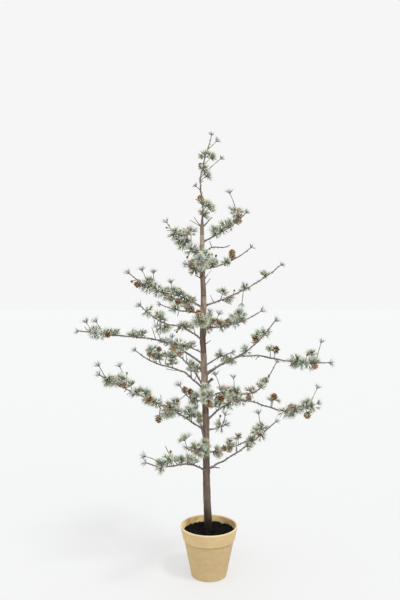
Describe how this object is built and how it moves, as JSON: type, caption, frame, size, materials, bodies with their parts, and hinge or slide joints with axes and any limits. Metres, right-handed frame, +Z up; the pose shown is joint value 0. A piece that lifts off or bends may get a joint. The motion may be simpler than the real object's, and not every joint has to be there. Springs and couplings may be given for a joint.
{
  "type": "artificial potted larch tree",
  "caption": "Artificial larch in a round pot: wrapped pole trunk, thin wired boughs, tufts of frosted needles and small cones.",
  "frame": {"origin": "middle of the pot's flat underside", "axes": "+Z up, +X to the right of the picture's view, +Y away from it"},
  "size_m": [1.0944, 0.8166, 1.8022],
  "materials": {
    "pot": "matt sand-coloured stone composite, turned and rubbed smooth",
    "soil": "black shreds, matt",
    "bark": "grey-brown wrapped bark, wrinkled and matt",
    "foliage": "sage-green needles with frosted tips, brown cones"
  },
  "bodies": {
    "root": {"bough_01": "bark", "bough_02": "bark", "bough_04": "bark", "bough_05": "bark", "bough_07": "bark", "bough_08": "bark", "bough_09": "bark", "bough_11": "bark", "bough_12": "bark", "bough_13": "bark", "bough_14": "bark", "bough_15": "bark", "bough_17": "bark", "bough_19": "bark", "bough_20": "bark", "bough_24": "bark", "bough_25": "bark", "bough_26": "bark", "bough_28": "bark", "bough_30": "bark", "bough_32": "bark", "bough_33": "bark", "foliage_01": "foliage", "foliage_02": "foliage", "foliage_03": "foliage", "foliage_04": "foliage", "foliage_05": "foliage", "foliage_06": "foliage", "foliage_07": "foliage", "foliage_08": "foliage", "foliage_09": "foliage", "foliage_10": "foliage", "foliage_11": "foliage", "foliage_12": "foliage", "foliage_13": "foliage", "foliage_14": "foliage", "foliage_15": "foliage", "foliage_16": "foliage", "foliage_17": "foliage", "foliage_18": "foliage", "foliage_19": "foliage", "foliage_20": "foliage", "foliage_21": "foliage", "foliage_22": "foliage", "foliage_23": "foliage", "foliage_24": "foliage", "foliage_25": "foliage", "foliage_26": "foliage", "foliage_27": "foliage", "foliage_28": "foliage", "foliage_29": "foliage", "foliage_30": "foliage", "foliage_31": "foliage", "foliage_33": "foliage", "foliage_leader": "foliage", "leader": "bark", "pot": "pot", "soil": "soil", "trunk": "bark"}
  },
  "joints": []
}
